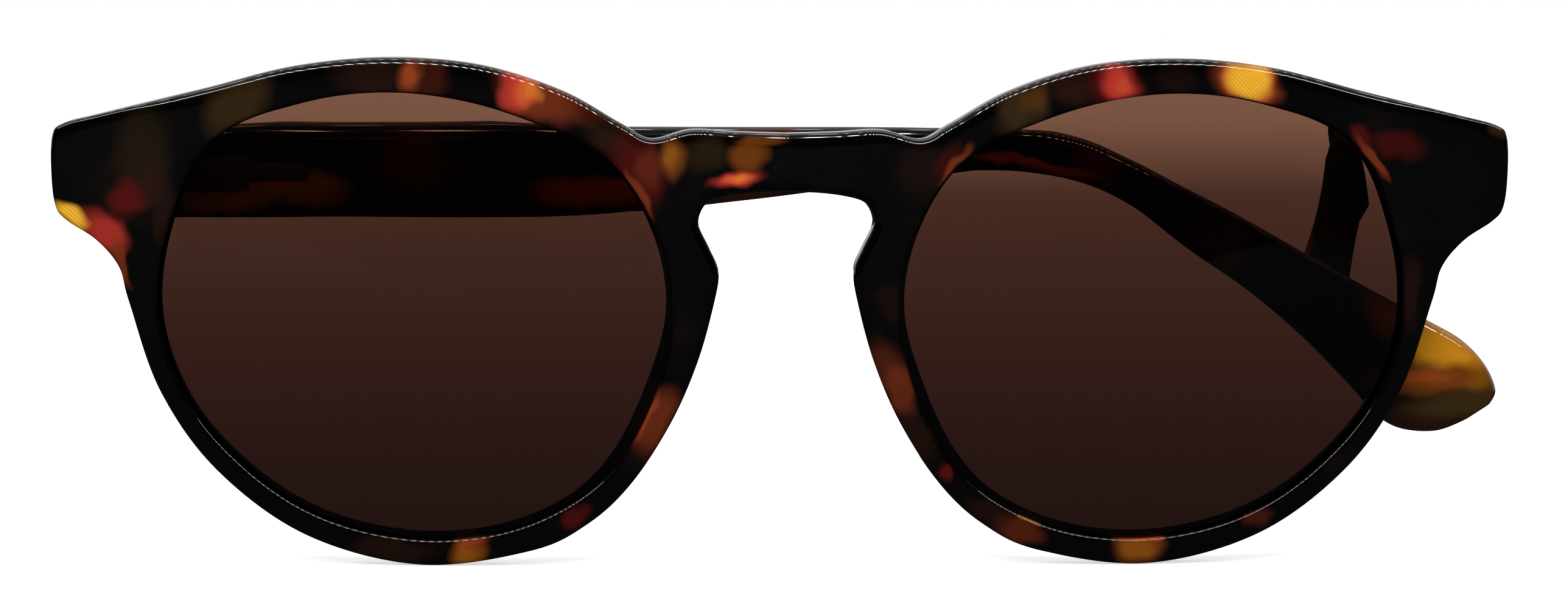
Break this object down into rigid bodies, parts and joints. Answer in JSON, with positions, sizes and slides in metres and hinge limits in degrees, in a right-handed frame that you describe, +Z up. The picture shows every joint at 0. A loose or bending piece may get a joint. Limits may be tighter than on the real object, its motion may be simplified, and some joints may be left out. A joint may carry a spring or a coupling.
{
  "type": "reading sunglasses",
  "caption": "Round reading sunglasses with a keyhole bridge, moulded nose pads, brown tinted lenses and sprung temple hinges, stored with one temple folded and the other open.",
  "frame": {"origin": "on the middle plane between the nose pads, where the nose carries the glasses: 6 mm behind the bridge's front face and 24 mm above the lowest points of the rims", "axes": "+X to the right as seen from the front, -Y the way the front faces, +Y the way an open temple points, +Z up; the lenses stand upright"},
  "size_m": [0.1434, 0.1499, 0.0496],
  "materials": {
    "tortoiseshell_plastic": "polished, mottled brown, amber and black",
    "tinted_lens": "clear brown tint, polished",
    "nickel_silver": "satin, darkened",
    "steel": "satin"
  },
  "bodies": {
    "front": {"frame_front": "tortoiseshell_plastic", "lens_left": "tinted_lens", "lens_right": "tinted_lens", "front_hinge_left": "nickel_silver", "front_hinge_right": "nickel_silver", "hinge_screw_left": "steel", "hinge_screw_right": "steel"},
    "left_slide": {"hinge_slide_left": "steel", "slide_nut_left": "steel"},
    "left_temple": {"temple_left": "tortoiseshell_plastic", "hinge_housing_left": "nickel_silver", "spring_stop_left": "nickel_silver", "flex_spring_left": "steel"},
    "right_slide": {"hinge_slide_right": "steel", "slide_nut_right": "steel"},
    "right_temple": {"temple_right": "tortoiseshell_plastic", "hinge_housing_right": "nickel_silver", "spring_stop_right": "nickel_silver", "flex_spring_right": "steel"}
  },
  "joints": [
    {"name": "left_fold", "type": "hinge", "parent": "front", "child": "left_slide", "pos_m": [-0.0662, 0.00621, 0.0138], "axis": [0, 0, 1], "range_deg": [0, 91.2]},
    {"name": "left_flex", "type": "slide", "parent": "left_slide", "child": "left_temple", "axis": [0.9998, -0.0209, 0], "range_m": [0, 0.0018], "stiffness_N_per_m": 2000, "deforming": ["flex_spring_left"]},
    {"name": "right_fold", "type": "hinge", "parent": "front", "child": "right_slide", "pos_m": [0.0662, 0.00621, 0.0138], "axis": [0, 0, 1], "range_deg": [0, 86.5]},
    {"name": "right_flex", "type": "slide", "parent": "right_slide", "child": "right_temple", "axis": [0, 1, 0], "range_m": [0, 0.0018], "stiffness_N_per_m": 2000, "deforming": ["flex_spring_right"]}
  ]
}
